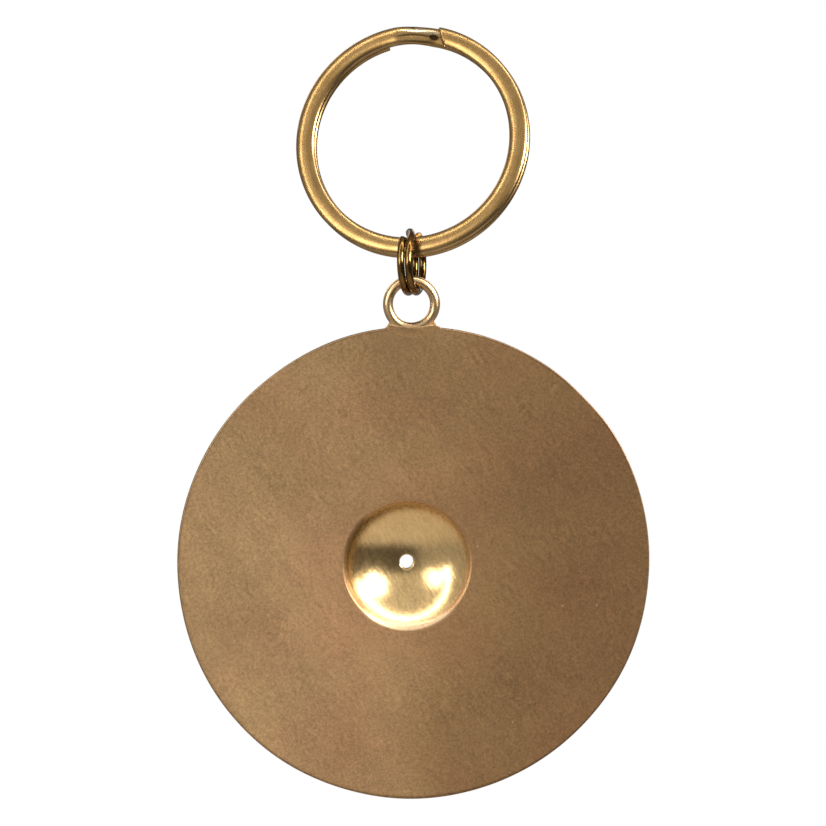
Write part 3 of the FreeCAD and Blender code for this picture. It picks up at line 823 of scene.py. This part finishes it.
def add_world():
    """White to the camera. To the metal, greys of a plain room, by direction."""
    world = bpy.data.worlds.new("studio")
    bpy.context.scene.world = world
    world.use_nodes = True
    graph = Graph(world.node_tree)
    side, depth, height = graph.split(graph.node("ShaderNodeTexCoord").outputs["Generated"])
    off_middle = graph.maths("ABSOLUTE", side)
    level = graph.remap(side, -0.50, 0.10, 0.33, 0.07)
    above = graph.remap(off_middle, 0.45, 0.95, 0.57, 0.36)
    below = graph.remap(off_middle, 0.35, 0.85, 0.40, 0.20)
    behind = 0.25
    grey = graph.blend(graph.remap(height, 0.02, 0.24), level, above)
    grey = graph.blend(graph.remap(height, -0.43, -0.53), grey, below)
    grey = graph.blend(graph.remap(depth, -0.05, 0.35), grey, behind)
    seen = graph.node("ShaderNodeBackground", {"Color": (1, 1, 1, 1), "Strength": 1.0})
    lit = graph.node("ShaderNodeBackground", {"Color": graph.grey(grey), "Strength": 1.0})
    camera_ray = graph.node("ShaderNodeLightPath").outputs["Is Camera Ray"]
    mixed = graph.node("ShaderNodeMixShader", {0: camera_ray, 1: lit.outputs[0],
                                               2: seen.outputs[0]})
    graph.node("ShaderNodeOutputWorld", {"Surface": mixed.outputs[0]})


# The floor, in metres.
FLOOR_RADIUS, FLOOR_HEIGHT, FLOOR_MIDDLE_Y = 0.22, -0.125, -0.006
FLOOR_FADE = (0.08, 0.17)
FLOOR_COLOUR = (0.37, 0.355, 0.345, 1)


def add_floor():
    """A pale round floor that fades out at its edge."""
    rings, columns = 6, 96
    angle = full_turn(columns)
    reach = np.linspace(0.02, 1, rings)[:, None] * FLOOR_RADIUS
    points = np.stack([reach * np.cos(angle), reach * np.sin(angle) + FLOOR_MIDDLE_Y,
                       np.full((rings, columns), FLOOR_HEIGHT)], axis=-1).reshape(-1, 3)
    faces = [face[::-1] for face in grid_faces(rings, columns, wrap_rows=False, wrap_columns=True)]
    faces.append(list(range(columns)))
    mesh = bpy.data.meshes.new("floor")
    mesh.from_pydata(points.tolist(), [], faces)

    material, graph = new_material("floor_paper")
    x, y, _ = graph.split(graph.node("ShaderNodeTexCoord").outputs["Object"])
    away = graph.length(graph.node("ShaderNodeCombineXYZ", {"X": x, "Y": y}).outputs[0])
    paper = graph.node("ShaderNodeBsdfDiffuse", {"Color": FLOOR_COLOUR})
    clear = graph.node("ShaderNodeBsdfTransparent")
    mixed = graph.node("ShaderNodeMixShader", {0: graph.remap(away, *FLOOR_FADE),
                                               1: paper.outputs[0], 2: clear.outputs[0]})
    graph.node("ShaderNodeOutputMaterial", {"Surface": mixed.outputs[0]})
    mesh.materials.append(material)
    floor = bpy.data.objects.new("floor", mesh)
    bpy.context.scene.collection.objects.link(floor)


bpy.context.scene.view_settings.view_transform = "Standard"
add_camera()
key_ring(drawn_brass("key_ring_brass", (0.485, 0.295, 0.110), (0.395, 0.232, 0.081),
                     roughness=0.25, streak=0.42, bump=0.005, wear_and_sheen=(0.68, 0.52, 0.33)))
# The small ring's brass is painted far darker than the other brass, as painted shade for the dark
# surroundings it reflects.
small_ring(drawn_brass("small_ring_brass", (0.25, 0.135, 0.037), (0.17, 0.09, 0.023),
                       roughness=0.13, streak=0.35, bump=0.003, inner_shade=0.4))
eye_ring(drawn_brass("eye_brass", (0.81, 0.545, 0.285), (0.65, 0.43, 0.215),
                     roughness=0.29, streak=0.45, bump=0.008, inner_shade=0.15))
braze_joint(sheet_bronze("braze", has_boss=False))
gong_disc(sheet_bronze("gong_bronze", has_boss=True))
add_lights()
add_world()
add_floor()
